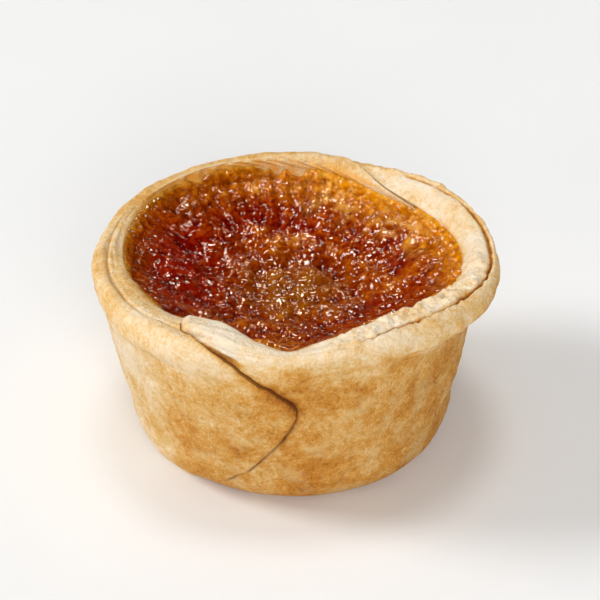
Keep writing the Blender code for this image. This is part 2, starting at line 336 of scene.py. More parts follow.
def profile(theta, v):
    """Radius and height of the pastry's surface at v, which runs from the middle of the base up the outside,
    over the rim, down the inside and to the middle of the floor.

    The base runs from 0 to 1, the foot to 2, the wall to 3, the leaning lip to 4, the outer crown to 5, the
    groove to 6, the band to 7, the inner wall to 8 and the floor to 9. Each is a line, a quarter ellipse or a
    half sine wave.
    """
    top = rim_height(theta)
    edge_top = inner_top(theta)
    groove_outer = groove_radius(theta) + GROOVE_HALF_WIDTH
    groove_inner = groove_radius(theta) - GROOVE_HALF_WIDTH
    part = np.floor(v)
    t = v - part
    quarter = np.radians(90.0 * t)

    wall_height = FOOT_HEIGHT + (TIN_EDGE_HEIGHT - FOOT_HEIGHT) * t
    foot_height = FOOT_HEIGHT * (1.0 - np.cos(quarter))
    lip_height = TIN_EDGE_HEIGHT + (top - SHOULDER_DROP - TIN_EDGE_HEIGHT) * t
    lip_radius = tin_radius(theta) + (rim_radius(theta) - tin_radius(theta)) * smooth(t)
    crown_radius = groove_outer + (rim_radius(theta) - groove_outer) * np.cos(quarter) ** 0.75
    crown_height = top - SHOULDER_DROP + SHOULDER_DROP * np.sin(quarter) ** 0.85
    groove_bottom = top - GROOVE_DEPTH * groove_share(theta) * np.sin(math.pi * t)
    band_radius = groove_inner + (inner_edge_radius(theta) - groove_inner) * t
    inner_height = edge_top + (FLOOR_THICKNESS - edge_top) * t
    sections = [
        (BASE_FLAT_RADIUS * t, 0.0 * theta),
        (outer_radius(theta, foot_height), foot_height),
        (outer_radius(theta, wall_height), wall_height),
        (lip_radius, lip_height),
        (crown_radius, crown_height),
        (groove_outer - 2.0 * GROOVE_HALF_WIDTH * t, groove_bottom),
        (band_radius, top + (edge_top - top) * t**2.2),
        (inner_radius(theta, inner_height), inner_height),
        (inner_radius(theta, FLOOR_THICKNESS) * (1.0 - t), FLOOR_THICKNESS + 0.0 * theta),
    ]
    radius = np.select([part == i for i in range(9)], [r + 0.0 * theta for r, _ in sections])
    height = np.select([part == i for i in range(9)], [z + 0.0 * theta for _, z in sections])
    return radius, height


def above_filling(v):
    """1 on the rim, falling to 0 a little way down the inner wall, where the filling begins."""
    return smooth((7.08 - v) / 0.07)


def rounded_step(behind):
    """Share of a layer's thickness behind its edge: lower at the edge itself, and rising as a parabola."""
    return 1.0 - STEP_ROUNDING_SHARE * np.clip(1.0 - behind / STEP_ROUNDING_WIDTH, 0.0, 1.0) ** 2


def layer_lift(column, v):
    """How far the layers of dough stand out from the profile: the flap, the lip beside its start on the rim,
    and the inner layer beside the crease. Each ends at its edge in a narrow rounded step, with a little
    crevice at its foot, and fades away behind it."""
    behind_seam = turn(SEAM_MIDDLE - column)
    flap = smooth(1.0 - behind_seam / FLAP_REACH) * (behind_seam > 0.0)
    flap = flap * (FLAP_EDGE_SHARE + (1.0 - FLAP_EDGE_SHARE) * smooth(behind_seam / 12.0))
    flap = flap * rounded_step(behind_seam) - 0.12 * swell(behind_seam, -0.3, 0.7) * (behind_seam < 0.0)
    lip = smooth(1.0 + behind_seam / LIP_REACH) * smooth(-behind_seam / 3.0) * (behind_seam < 0.0)
    lip_edge = swell(behind_seam, -2.2, 3.2) * between(v, 4.5, 5.6, 0.4)
    past_crease = turn(column - CREASE_MIDDLE)
    crease = smooth(1.0 - past_crease / CREASE_REACH) * (past_crease > 0.0)
    crease = crease * rounded_step(past_crease) - 0.2 * swell(past_crease, -0.35, 0.9) * (past_crease < 0.0)
    over_rim = 1.0 - 0.75 * smooth((v - 4.2) / 1.8) - 0.25 * smooth(v - 6.0)
    return (
        FLAP_THICKNESS * flap * smooth((v - 1.2) / 0.8) * over_rim
        + LIP_THICKNESS * (lip * smooth((v - 5.6) / 0.5) - 0.45 * lip_edge) * above_filling(v)
        + CREASE_THICKNESS * crease * smooth((v - 4.6) / 0.8) * above_filling(v)
    )


def rib_wave(theta):
    """A cosine wave of the angle, six degrees long, with a crest at the back."""
    return np.cos(60.0 * np.radians(theta - 94.3))


def inner_ribs(theta, v):
    """Soft upright ribs pressed into the back of the inner wall."""
    inside = smooth((v - 6.4) / 0.4) * smooth((7.14 - v) / 0.05) * stretch(theta, 84.0, 128.0, 12.0)
    return RIB_HEIGHT * inside * rib_wave(theta)


def hand_waves(theta, v):
    """The uneven thickness of hand-pressed dough: three sine waves of the angle and v, and the inner ribs."""
    turned = np.radians(theta)
    outside = smooth((v - 1.3) / 0.7) * smooth((7.0 - v) / 0.5)
    wave = (
        np.sin(3.0 * turned + 2.1 * v + 0.6)
        + 0.7 * np.sin(7.0 * turned - 3.4 * v)
        + 0.4 * np.sin(11.0 * turned + 5.0 * v)
    )
    return HAND_WAVE_HEIGHT * outside * wave + inner_ribs(theta, v)


def lip_ridge(theta):
    """Place v of the ridge along the lip: it starts on the rim by the seam and runs to the inner edge."""
    return 6.15 + 0.8 * np.clip((turn(theta) + 124.0) / 28.0, 0.0, 1.0)


def random_swells(points, sizes, seed):
    """The sum of random swells in several sizes, each given as its size and height in mm."""
    return sum(height * MM * noise(points, size * MM, seed + i) for i, (size, height) in enumerate(sizes))


def dough_relief(points, theta, v):
    """Fine relief of baked dough: random swells of three sizes, thin layers that run along the rim, blisters
    on the wall, a shallow ledge below the rim, a ridge along the lip, and a torn, crumbly edge along the
    front right of the rim."""
    relief = random_swells(points, DOUGH_SWELLS, 3)
    along = np.stack([np.radians(turn(theta)) * 4.0, v * 2.6, 0.4 * v], axis=-1)
    layers = 0.20 * noise(along, 1.0, 30) + 0.10 * noise(along * 2.3, 1.0, 31)
    layers = layers * between(v, 3.3, 6.3, 0.4) * (1.0 - 0.8 * stretch(theta, 65.0, 150.0, 20.0)) * MM
    blisters = (0.10 * pebbles(points, 2.0 * MM, 26) + 0.07 * noise(points, 1.1 * MM, 27)) * MM
    relief = relief + blisters * between(v, 1.2, 3.9, 0.6)
    ledge = hill(v - 0.1 * np.sin(np.radians(9.0 * theta)), 3.72, 0.16)
    ledge = -LEDGE_DEPTH * ledge * stretch(theta, -84.0, -22.0, 10.0)
    from_ridge = (v - lip_ridge(theta)) / 0.13
    ridge = (hill(from_ridge, 0.0, 1.0) - hill(from_ridge, 1.7, 1.0)) * stretch(theta, -121.0, -100.0, 6.0)
    layers = layers + RIDGE_HEIGHT * ridge
    torn = stretch(theta, -74.0, -6.0, 8.0) * between(v, 5.1, 7.0, 0.3)
    torn = torn * smooth(0.75 + 1.4 * noise(points, 3.5 * MM, 24))
    torn = torn + 0.30 * stretch(theta, -8.0, 70.0, 8.0) * between(v, 4.6, 5.6, 0.3)
    crumbly = 0.50 * noise(points, 1.9 * MM, 21) + 0.36 * noise(points, 0.9 * MM, 23)
    crumbly = crumbly + 0.24 * pebbles(points, 1.5 * MM, 22)
    return (relief + layers) * smooth(v - 0.98) * smooth((7.4 - v) / 0.3) + ledge + torn * crumbly * MM


def pastry_points(columns, places):
    """The pastry's surface at every place along the profile (rows) and column, as x, y and z: the profile
    moved along its own normal by the layers, the waves and the fine relief, then rounded at the inner edge by
    averaging neighbouring rows."""
    column, v = np.meshgrid(columns, places)
    theta = column_angle(column, v)
    radius, height = profile(theta, v)
    radius_after, height_after = profile(theta, np.minimum(v + SLOPE_STEP, 8.9999))
    radius_before, height_before = profile(theta, np.maximum(v - SLOPE_STEP, 0.0))
    along_r = radius_after - radius_before
    along_z = height_after - height_before
    length = np.maximum(np.hypot(along_r, along_z), 1e-9)
    turned = np.radians(theta)
    smooth_points = np.stack([radius * np.cos(turned), radius * np.sin(turned), height], axis=-1)
    lift = layer_lift(column, v) + hand_waves(theta, v) + dough_relief(smooth_points, theta, v)
    radius = radius + lift * along_z / length
    height = np.maximum(height - lift * along_r / length, 0.0)
    points = np.stack([radius * np.cos(turned), radius * np.sin(turned), height], axis=-1)
    inner_edge = between(v, 6.78, 7.07, 0.06) * stretch(theta, 8.0, 215.0, 12.0)
    inner_edge = inner_edge[1:-1, :, None]
    for _ in range(EDGE_ROUNDINGS):
        average = 0.25 * points[:-2] + 0.5 * points[1:-1] + 0.25 * points[2:]
        points[1:-1] += inner_edge * (average - points[1:-1])
    return points, column, theta, v


def lump_height(x, y):
    """Rounded lumps and hollows of the boiled filling along a sunflower's spiral: each is turned from the last
    by the golden angle, so they lie evenly. Each has its own size, and about three in eight are hollows."""
    total = np.zeros(np.shape(x))
    for i in range(LUMP_COUNT):
        angle = math.radians(GOLDEN_ANGLE * i)
        distance = LUMPS_REACH * math.sqrt((i + 0.5) / LUMP_COUNT)
        size = 0.75 + 0.5 * ((i * 0.618034) % 1.0)
        height = LUMP_HEIGHT * (1.0 if (i * 0.414214) % 1.0 < 0.62 else -0.8)
        away = np.hypot(x - distance * math.cos(angle), y - distance * math.sin(angle))
        total += height * size * smooth(1.0 - away / (LUMP_RADIUS * size))
    return total


def filling_edge_height(theta):
    """Height of the filling where its dish meets the pastry: it climbs the wall at the back and the left."""
    climb = 0.9 * MM * stretch(theta, 0.0, 190.0, 40.0)
    return inner_top(theta) - FILLING_EDGE_DROP + climb


def film_top_height(theta):
    """How high the boiled film reaches up the wall above the dish: nearly to the rim at the back and the back
    left, with gaps where the pastry shows, and low at the front and the right. Sine waves make its edge
    uneven."""
    wave = (
        0.25 * np.sin(np.radians(17.0 * theta))
        + 0.20 * np.sin(np.radians(41.0 * theta + 50.0))
        + 0.12 * np.sin(np.radians(97.0 * theta))
    )
    gap = 1.7 + 0.55 * np.sin(np.radians(53.0 * theta)) + 0.4 * np.sin(np.radians(83.0 * theta + 40.0))
    gaps = gap * stretch(theta, 88.0, 102.0, 3.0) + 1.4 * swell(theta, 124.0, 7.0)
    drop = 1.1 - 1.0 * stretch(theta, 15.0, 235.0, 20.0) + gaps + wave
    lowest = filling_edge_height(theta) + 0.15 * MM
    return np.maximum(inner_top(theta) - np.maximum(drop, 0.2) * MM, lowest)


def wall_for_film(theta, height):
    """Radius of the pastry's inner wall as the film meets it: the inner layer and the ribs stand out."""
    top = inner_top(theta)
    v = 7.0 + np.clip((top - height) / (top - FLOOR_THICKNESS), 0.0, 1.0)
    past_crease = turn(theta - crease_angle(v))
    layer = smooth(1.0 - past_crease / CREASE_REACH) * (past_crease > 0.0) * above_filling(v)
    return inner_radius(theta, height) - CREASE_THICKNESS * layer - inner_ribs(theta, v)


def fold_with_highlight(theta):
    """A narrow fold of dough at the back, raised through the film. Its pale streak on the film is partly the
    dough showing and partly a painted highlight.
    """
    return swell(theta + 0.5 * np.sin(np.radians(90.0 * theta)), 77.6, 1.7)


def jam_relief(points):
    """Relief of boiled caramel: packed pebbles of jelly in two sizes on random swells, all of it pushed about
    sideways by more noise so that no shape repeats, and softer at the left, where it only wrinkled."""
    pushed = points.copy()
    for k in range(3):
        pushed[..., k] += 0.7 * MM * noise(points, 2.6 * MM, 60 + k)
        pushed[..., k] += 0.15 * MM * noise(points, 1.2 * MM, 70 + k)
    swells = random_swells(points, JAM_SWELLS, 40)
    coarse, fine = (
        height * MM * pebbles(pushed, size * MM, 50 + i) for i, (size, height) in enumerate(JAM_PEBBLES)
    )
    calm = patch(points, *CALM_PATCH)
    return (swells + coarse * (1.0 - 0.35 * calm) + fine * (1.0 - 0.2 * calm)) * 0.8


def filling_points(count):
    """The filling's top on a square grid bent into a disc: the larger of a and b is the share of the way to
    the edge, and the other sets the angle. The inner part is a dish, and the outer part is a thin film that
    climbs the wall."""
    a, b = np.meshgrid(np.linspace(-1.0, 1.0, count), np.linspace(-1.0, 1.0, count))
    wide = np.abs(a) > np.abs(b)
    share = np.where(wide, a, b)
    other = np.where(wide, b, a)
    eighth = 45.0 * other / np.where(share == 0.0, 1.0, share)
    theta = np.where(wide, eighth, 90.0 - eighth) + np.where(share < 0.0, 180.0, 0.0)
    share = np.abs(share)
    edge_height = filling_edge_height(theta)
    edge_radius = wall_for_film(theta, edge_height) - FILM_THICKNESS
    in_dish = np.clip(share / (1.0 - FILM_SHARE), 0.0, 1.0)
    in_film = np.clip((share - 1.0) / FILM_SHARE + 1.0, 0.0, 1.0)
    film_height = edge_height + (film_top_height(theta) - edge_height) * in_film
    film_radius = wall_for_film(theta, film_height) - FILM_THICKNESS * (1.0 - 1.05 * in_film**2)
    radius = np.where(in_film > 0.0, film_radius, in_dish * edge_radius)
    dish = FILLING_CENTRE_HEIGHT + (edge_height - FILLING_CENTRE_HEIGHT) * in_dish**2.3
    height = np.where(in_film > 0.0, film_height, dish)
    x = radius * np.cos(np.radians(theta))
    y = radius * np.sin(np.radians(theta))
    points = np.stack([x, y, height], axis=-1)
    fade = smooth((1.0 - in_dish) / 0.12)
    points[..., 2] += lump_height(x, y) * fade
    relief = jam_relief(points)
    points[..., 2] += relief * (0.55 + 0.45 * fade) * (1.0 - in_film**3)
    inward = 0.9 * relief * (1.0 - fade) * (1.0 - in_film**4)
    inward += 0.5 * MM * fold_with_highlight(theta) * smooth((in_dish - 0.84) / 0.06) * (1.0 - in_film**4)
    points[..., 0] -= inward * np.cos(np.radians(theta))
    points[..., 1] -= inward * np.sin(np.radians(theta))
    return points, theta, in_dish, in_film, relief


def mesh_object(name, points, faces, attributes):
    """An object with these points and faces, and one number at each point for every named attribute."""
    mesh = bpy.data.meshes.new(name)
    mesh.from_pydata(points.reshape(-1, 3), [], faces)
    mesh.update()
    mesh.polygons.foreach_set("use_smooth", np.ones(len(mesh.polygons), bool))
    for key, values in attributes.items():
        layer = mesh.attributes.new(key, "FLOAT", "POINT")
        layer.data.foreach_set("value", np.ascontiguousarray(values, np.float32).ravel())
    made = bpy.data.objects.new(name, mesh)
    bpy.context.scene.collection.objects.link(made)
    return made


def ring_faces(lower, upper):
    """Quads between two rings of point numbers, facing outwards where upper lies above lower."""
    return np.stack([lower, np.roll(lower, -1), np.roll(upper, -1), upper], axis=-1)


def fan_faces(ring, middle):
    """Triangles from a ring of point numbers to a middle point."""
    return np.stack([ring, np.roll(ring, -1), np.full_like(ring, middle)], axis=-1)


def spread(start, end, count):
    """Places from start up to but not including end."""
    return list(np.linspace(start, end, count, endpoint=False))


def pastry_masks(points, column, theta, v):
    """How toasted each point of the pastry is, with some light and shade painted in; how much painted shade
    lies in its seam, crease, groove and valley; how far caramel has soaked in, and whether it touched the
    tin."""
    behind_seam = turn(SEAM_MIDDLE - column)
    past_crease = turn(column - CREASE_MIDDLE)
    below_corner = smooth((2.72 - v) / 0.15)
    seam_width = 0.08 + 0.62 * below_corner
    seam_shadow = np.exp(-((behind_seam + 0.12 + 0.2 * below_corner) ** 2) / seam_width)
    seam_shadow = seam_shadow * between(v, 1.3, 6.2, 0.2) * (1.0 - 0.25 * below_corner * np.sin(9.0 * v) ** 2)
    seam_brown = np.exp(-(behind_seam**2) / 7.0) * between(v, 1.45, 6.2, 0.2)
    seam_brown = seam_brown * (1.5 * smooth((v - 2.5) / 0.4) + 0.15)
    valley = swell(behind_seam, -1.8, 3.2) * between(v, 4.35, 5.5, 0.35)
    crease_shade_strength = 0.45 + 0.35 * stretch(theta, 30.0, 60.0, 8.0)
    crease_shadow = np.exp(-((np.minimum(past_crease, 0.0) + 0.2) ** 2) / 0.3) * (past_crease < 0.3)
    crease_shadow = crease_shadow * between(v, 5.2, 7.05, 0.3) * crease_shade_strength
    groove_line = hill(v, 5.5, 0.16) * groove_share(theta)
    # Painted shade: the seam, the crease under the inner layer's edge, the groove and the valley by the lip
    # are darkened where shade falls in them.
    crevice_shade = np.clip(seam_shadow + crease_shadow + 0.4 * groove_line + 0.5 * valley, 0.0, 1.0)

    height = points[..., 2] / MM
    ragged_height = height + 3.0 * noise(points, 6.0 * MM, 80) + 1.6 * noise(points, 2.4 * MM, 81)
    on_tin = smooth((35.2 + 3.0 * stretch(theta, -86.0, -15.0, 15.0) - ragged_height) / 8.0)
    left = stretch(theta, 150.0, -145.0, 22.0)
    # Browning where the dough touched the tin. Less of it at the right edge of the wall is painted light,
    # standing in for light falling there from the right.
    wall_brown_and_light = on_tin * (
        0.34 * (1.0 - 0.6 * left)
        - 0.16 * stretch(theta, 205.0, 250.0, 14.0) * smooth((height - 12.0) / 14.0)
        - 0.08 * swell(theta, -2.0, 26.0)
        + 0.06 * swell(theta, -108.0, 34.0) * (behind_seam > 0.0)
        + 0.05 * stretch(theta, -80.0, 20.0, 30.0)
    )
    lip_cream = smooth(1.0 + behind_seam / 30.0) * (behind_seam < -1.0) * between(v, 4.6, 7.0, 0.5)
    rim_brown = (
        0.20 * stretch(theta, 72.0, 150.0, 20.0) * between(v, 4.6, 6.9, 0.5)
        + 0.10 * left * (1.0 - on_tin)
        + 0.07 * stretch(theta, -40.0, 60.0, 20.0) * between(v, 4.0, 5.0, 0.6)
        + 0.06 * stretch(theta, 182.0, 228.0, 14.0) * between(v, 6.25, 7.0, 0.3)
        - 0.08 * between(v, 5.7, 6.9, 0.4) * (1.0 - left)
        - 0.12 * lip_cream
    )
    groove = groove_share(theta) * between(v, 5.35, 5.7, 0.25)
    specks = smooth(2.4 * noise(points, 0.9 * MM, 85) - 0.5)
    # Browner along the groove, the seam and the foot, with brown specks on the torn edge; the valley by the
    # lip and the line under the ledge below the front of the rim are painted shade.
    edge_brown_and_shade = (
        groove * (0.15 + 0.45 * stretch(theta, -60.0, 50.0, 10.0))
        + 0.16 * seam_brown
        + 0.5 * valley
        + 0.20 * specks * stretch(theta, -76.0, -4.0, 8.0) * between(v, 5.3, 6.95, 0.3)
        + 0.10 * hill(v, 3.7, 0.12) * stretch(theta, -84.0, -22.0, 10.0)
        + 0.16 * (1.0 - smooth((v - 1.0) / 0.7))
    )
    # This sum carries the painted light and shade above, as well as browning, into the pastry's colour.
    toast_and_painted_light = 0.20 + wall_brown_and_light + rim_brown + edge_brown_and_shade

    back = stretch(theta, 74.0, 135.0, 14.0)
    stain_start = 7.00 - 0.08 * stretch(theta, 104.0, 235.0, 12.0) - 0.30 * back
    stain = smooth((v - stain_start) / (0.14 + 0.5 * back) + 0.5)
    stain = stain * (1.0 - stretch(theta, 84.0, 104.0, 6.0) * (0.5 + 0.4 * rib_wave(theta)))
    stain = stain * (1.0 - 0.7 * stretch(theta, 28.0, 56.0, 6.0) * smooth((7.12 - v) / 0.05))
    beside = between(past_crease, 0.5, 3.0, 1.0) * stretch(theta, 30.0, 48.0, 8.0) * between(v, 6.4, 7.0, 0.2)
    stain = stain + beside * smooth(2.5 * noise(points, 2.2 * MM, 83) - 0.4)
    return {"toast_and_painted_light": toast_and_painted_light, "crevice_shade": crevice_shade, "stain": stain, "tin": on_tin}


def build_pastry():
    """The pastry: rings at places along the profile, closed by fans at the middles of the base and floor.
    Places crowd where the form turns fast, and columns at the two overlaps."""
    places = (
        [0.4, 0.8, 0.97]
        + spread(1.0, 2.0, 22)
        + spread(2.0, 3.0, 42)
        + spread(3.0, 4.0, 12)
        + spread(4.0, 5.0, 13)
        + spread(5.0, 6.0, 8)
        + spread(6.0, 7.0, 15)
        + spread(7.0, 7.1, 12)
        + spread(7.1, 7.2, 5)
        + [7.22, 7.3, 7.5, 7.8, 7.88, 7.94, 7.98, 7.9999]
    )
    close = np.array([-1.05, -0.75, -0.5, -0.3, -0.14, -0.04, 0.04, 0.2, 0.4, 0.65, 1.0, 1.35])
    even = np.arange(-180.0, 180.0, 0.52)
    edges = (SEAM_MIDDLE, CREASE_MIDDLE)
    kept = even[np.all([np.abs(turn(even - edge)) > 1.6 for edge in edges], axis=0)]
    columns = np.sort(np.concatenate([kept, SEAM_MIDDLE - close, CREASE_MIDDLE + close]))
    points, column, theta, v = pastry_points(columns, np.array(places))
    masks = pastry_masks(points, column, theta, v)

    rows, count = v.shape
    ends = np.array([[0.0, 0.0, 0.0], [0.0, 0.0, FLOOR_THICKNESS]])
    numbers = np.arange(rows * count).reshape(rows, count)
    faces = np.concatenate([ring_faces(numbers[i], numbers[i + 1]) for i in range(rows - 1)]).tolist()
    faces += fan_faces(numbers[0][::-1], rows * count).tolist()
    faces += fan_faces(numbers[-1], rows * count + 1).tolist()
    masks = {key: np.append(values.ravel(), [0.5, 0.5]) for key, values in masks.items()}
    return mesh_object("pastry", np.concatenate([points.reshape(-1, 3), ends]), faces, masks)


def filling_masks(points, theta, in_dish, in_film, relief):
    """Where the caramel is clear red, ochre, thin and amber, or thinner still and pale, with a painted
    highlight along the fold at the back; how far each point is raised, from which the material paints a
    glow on lump tops and shade in the cracks; and where the film on the wall begins."""
    edge = smooth((in_dish - 0.8) / 0.2)
    red = sum(patch(points, *numbers) for numbers in RED_PATCHES)
    red += 0.8 * edge * stretch(theta, 148.0, 214.0, 14.0)
    red += 0.35 * smooth((in_dish - 0.6) / 0.3) * stretch(theta, 100.0, 150.0, 20.0)
    thin = 0.85 + 0.7 * swell(theta, 66.0, 30.0) + 0.4 * swell(theta, 20.0, 30.0)
    amber = thin * edge * (0.35 + 0.65 * in_film)
    amber = amber * (1.0 - stretch(theta, 125.0, 215.0, 25.0) * (0.6 - 0.2 * in_film))
    front = 0.45 + 0.55 * smooth(0.5 + 1.5 * noise(points, 4.0 * MM, 86))
    front = front * stretch(theta, -132.0, -42.0, 14.0) * smooth((in_dish - 0.58) / 0.12)
    amber = np.maximum(amber, 0.85 * front)
    pale = 0.8 * smooth((in_film - 0.70) / 0.30) * stretch(theta, 100.0, 230.0, 20.0)
    clots = smooth(0.35 + 1.6 * noise(points, 2.4 * MM, 84)) * smooth((in_dish - 0.70) / 0.2)
    pale = np.maximum(pale, 0.75 * clots * stretch(theta, 30.0, 82.0, 14.0))
    # Along the fold at the back the pale colour is partly a painted highlight.
    pale = np.maximum(pale, 1.3 * fold_with_highlight(theta) * smooth((in_dish - 0.84) / 0.06))
    ochre = patch(points, *OCHRE_PATCH)
    return {"red": red, "ochre": ochre, "amber": amber, "raised": relief / MM, "pale": pale, "film": edge}


def build_filling():
    """The filling: its lumpy top, and a hidden side that follows the inner wall down to a flat bottom."""
    count = FILLING_POINTS_ACROSS
    points, theta, in_dish, in_film, relief = filling_points(count)
    numbers = np.arange(count * count).reshape(count, count)
    corners = [numbers[:-1, :-1], numbers[:-1, 1:], numbers[1:, 1:], numbers[1:, :-1]]
    faces = np.stack(corners, axis=-1).reshape(-1, 4).tolist()
    rim = np.concatenate([numbers[0, :-1], numbers[:-1, -1], numbers[-1, :0:-1], numbers[:0:-1, 0]])

    bottom = FLOOR_THICKNESS + 0.3 * MM
    rim_theta = theta.ravel()[rim]
    rim_points = points.reshape(-1, 3)[rim]
    rings = []
    for depth in (0.06, 0.14, 0.25, 0.55, 0.86, 0.94, 1.0):
        height = rim_points[:, 2] * (1.0 - depth) + bottom * depth
        rounding = 1.4 * FLOOR_ROUNDING
        corner = 1.0 - np.clip((height - bottom) / rounding, 0.0, 1.0)
        wall = wall_for_film(rim_theta, np.maximum(height, FLOOR_THICKNESS + FLOOR_ROUNDING)) - 0.1 * MM
        radius = wall - rounding * (1.0 - np.sqrt(1.0 - corner**2))
        turned = np.radians(rim_theta)
        rings.append(np.stack([radius * np.cos(turned), radius * np.sin(turned), height], axis=-1))
    upper = rim
    for i in range(len(rings)):
        lower = count * count + i * len(rim) + np.arange(len(rim))
        faces += ring_faces(lower, upper).tolist()
        upper = lower
    middle = count * count + len(rings) * len(rim)
    faces += fan_faces(upper[::-1], middle).tolist()
    everything = np.concatenate([points.reshape(-1, 3)] + rings + [np.array([[0.0, 0.0, bottom]])])

    extra = np.zeros(len(everything) - count * count)
    masks = filling_masks(points, theta, in_dish, in_film, relief)
    masks = {key: np.append(values.ravel(), extra) for key, values in masks.items()}
    return mesh_object("caramel_filling", everything, faces, masks)


def linear(code):
    """An sRGB colour written as six hex digits, as the linear values a shader takes."""
    channels = np.array([int(code[i : i + 2], 16) for i in (0, 2, 4)]) / 255.0
    values = np.where(channels <= 0.04045, channels / 12.92, ((channels + 0.055) / 1.055) ** 2.4)
    return (*values.tolist(), 1.0)


def fill_inputs(node, inputs):
    """Gives each input of a node its value, or a link where the value is another node's output."""
    for key, value in inputs.items():
        if isinstance(value, bpy.types.NodeSocket):
            node.id_data.links.new(value, node.inputs[key])
        else:
            node.inputs[key].default_value = value


def put(tree, kind, inputs=None, output=0, stops=(), **settings):
    """Adds a node and gives back one of its outputs. Settings are the node's own properties, inputs are
    values or other nodes' outputs, and stops are a colour ramp's places with their hex colours."""
    node = tree.nodes.new(kind)
    for key, value in settings.items():
        setattr(node, key, value)
    fill_inputs(node, inputs or {})
    for place, _ in stops[1:-1]:
        node.color_ramp.elements.new(place)
    for i, (place, code) in enumerate(stops):
        node.color_ramp.elements[i].position = place
        node.color_ramp.elements[i].color = linear(code)
    return node.outputs[output]


def new_material(name):
    """A material whose tree has only its shader, the function put for that tree, the shader and its Object
    coordinates."""
    material = bpy.data.materials.new(name)
    material.use_nodes = True
    add = functools.partial(put, material.node_tree)
    place = add("ShaderNodeTexCoord", output="Object")
    return material, add, material.node_tree.nodes["Principled BSDF"], place


def shortcrust_material():
    """Shortcrust pastry, baked in a tin: dry and matte, pale cream where the rim stood in the open, mottled
    golden brown where it touched the metal, browner along the seam, with shade painted into the seams,
    crease, groove and valley and a little light painted on the right of the wall, and with caramel soaked in
    by the filling."""
    material, add, shader, place = new_material("baked shortcrust pastry")
    toast_and_painted_light, crevice_shade, stain, tin = (
        add("ShaderNodeAttribute", output="Fac", attribute_name=mask)
        for mask in ("toast_and_painted_light", "crevice_shade", "stain", "tin")
    )
    # How far apart the spots are in mm, their roughness and their distortion
    grains = {
        "blotches": (9.0, 0.5, 0.15),
        "flour": (5.0, 0.6, 0.2),
        "patches": (3.4, 0.6, 0.2),
        "mottle": (1.3, 0.6, 0.2),
        "speckle": (0.6, 0.6, 0.0),
        "crumb": (0.3, 0.6, 0.0),
    }
    spots = {}
    for name, (size, rough, warp) in grains.items():
        inputs = {"Vector": place, "Scale": 1.0 / (size * MM), "Detail": 2.0}
        inputs.update({"Roughness": rough, "Distortion": warp})
        spots[name] = add("ShaderNodeTexNoise", inputs)

    # The sum of the spots, less what it is on average, is stronger where the dough touched the tin
    shares = {"blotches": 0.6, "patches": 0.45, "mottle": 0.45, "speckle": 0.5, "crumb": 0.25}
    uneven = -1.137
    for name, share in shares.items():
        uneven = add("ShaderNodeMath", {0: spots[name], 1: share, 2: uneven}, operation="MULTIPLY_ADD")
    swing = add("ShaderNodeMath", {0: tin, 1: 0.2, 2: 0.8}, operation="MULTIPLY_ADD")
    # The toast attribute holds browning with some painted light and shade in it.
    browning_and_painted_light = add("ShaderNodeMath", {0: uneven, 1: swing, 2: toast_and_painted_light}, operation="MULTIPLY_ADD")
    cream_to_brown = (
        (0.0, "F5E3C8"),
        (0.2, "EECFA0"),
        (0.36, "E4B875"),
        (0.52, "D99E4A"),
        (0.70, "C8842C"),
        (0.86, "B06A1E"),
        (1.0, "864A16"),
    )
    colour = add("ShaderNodeValToRGB", {"Fac": browning_and_painted_light}, stops=cream_to_brown)

    # Layers over it: pale floury patches, dark brown painted shade in the seams, crease, groove and valley,
    # and amber where caramel has soaked in
    flour = {0: spots["flour"], 1: 5.0, 2: -2.5}
    flour = add("ShaderNodeMath", flour, operation="MULTIPLY_ADD", use_clamp=True)
    flour_share = add("ShaderNodeMath", {0: tin, 1: 0.45}, operation="MULTIPLY")
    flour = add("ShaderNodeMath", {0: flour, 1: flour_share}, operation="MULTIPLY")
    # The crevice mask here is painted shade in the seams, crease, groove and valley.
    seam = add("ShaderNodeMath", {0: crevice_shade, 1: 0.92}, operation="MULTIPLY")
    uptake = add("ShaderNodeMath", {0: spots["mottle"], 1: 0.35}, operation="ADD")
    soaked = add("ShaderNodeMath", {0: stain, 1: uptake}, operation="MULTIPLY", use_clamp=True)
    for share, over in ((flour, "E6CC92"), (seam, "662E0C"), (soaked, "F0AC44")):
        inputs = {MIX_SHARE: share, MIX_UNDER: colour, MIX_OVER: linear(over)}
        colour = add("ShaderNodeMix", inputs, MIX_COLOUR, data_type="RGBA")

    # Dry, and less so where caramel has soaked in; the bump is coarser where the dough touched the tin
    dryness = add("ShaderNodeMath", {0: soaked, 1: -0.45, 2: 0.6}, operation="MULTIPLY_ADD")
    roughness = add("ShaderNodeMath", {0: spots["mottle"], 1: 0.3, 2: dryness}, operation="MULTIPLY_ADD")
    height = spots["mottle"]
    for name, share in (("speckle", 0.6), ("crumb", 0.25)):
        height = add("ShaderNodeMath", {0: spots[name], 1: share, 2: height}, operation="MULTIPLY_ADD")
    coarse = add("ShaderNodeMath", {0: tin, 1: 0.65, 2: 0.65}, operation="MULTIPLY_ADD")
    height = add("ShaderNodeMath", {0: height, 1: coarse}, operation="MULTIPLY")
    bump = add("ShaderNodeBump", {"Height": height, "Strength": 1.0, "Distance": 0.5 * MM})
    fill_inputs(shader, {"Base Color": colour, "Roughness": roughness, "Normal": bump})
    shader.inputs["IOR"].default_value = 1.42
    shader.inputs["Specular IOR Level"].default_value = 0.35
    shader.inputs["Subsurface Weight"].default_value = 0.15
    shader.inputs["Subsurface Radius"].default_value = (1.0, 0.55, 0.25)
    shader.inputs["Subsurface Scale"].default_value = 0.8 * MM
    return material


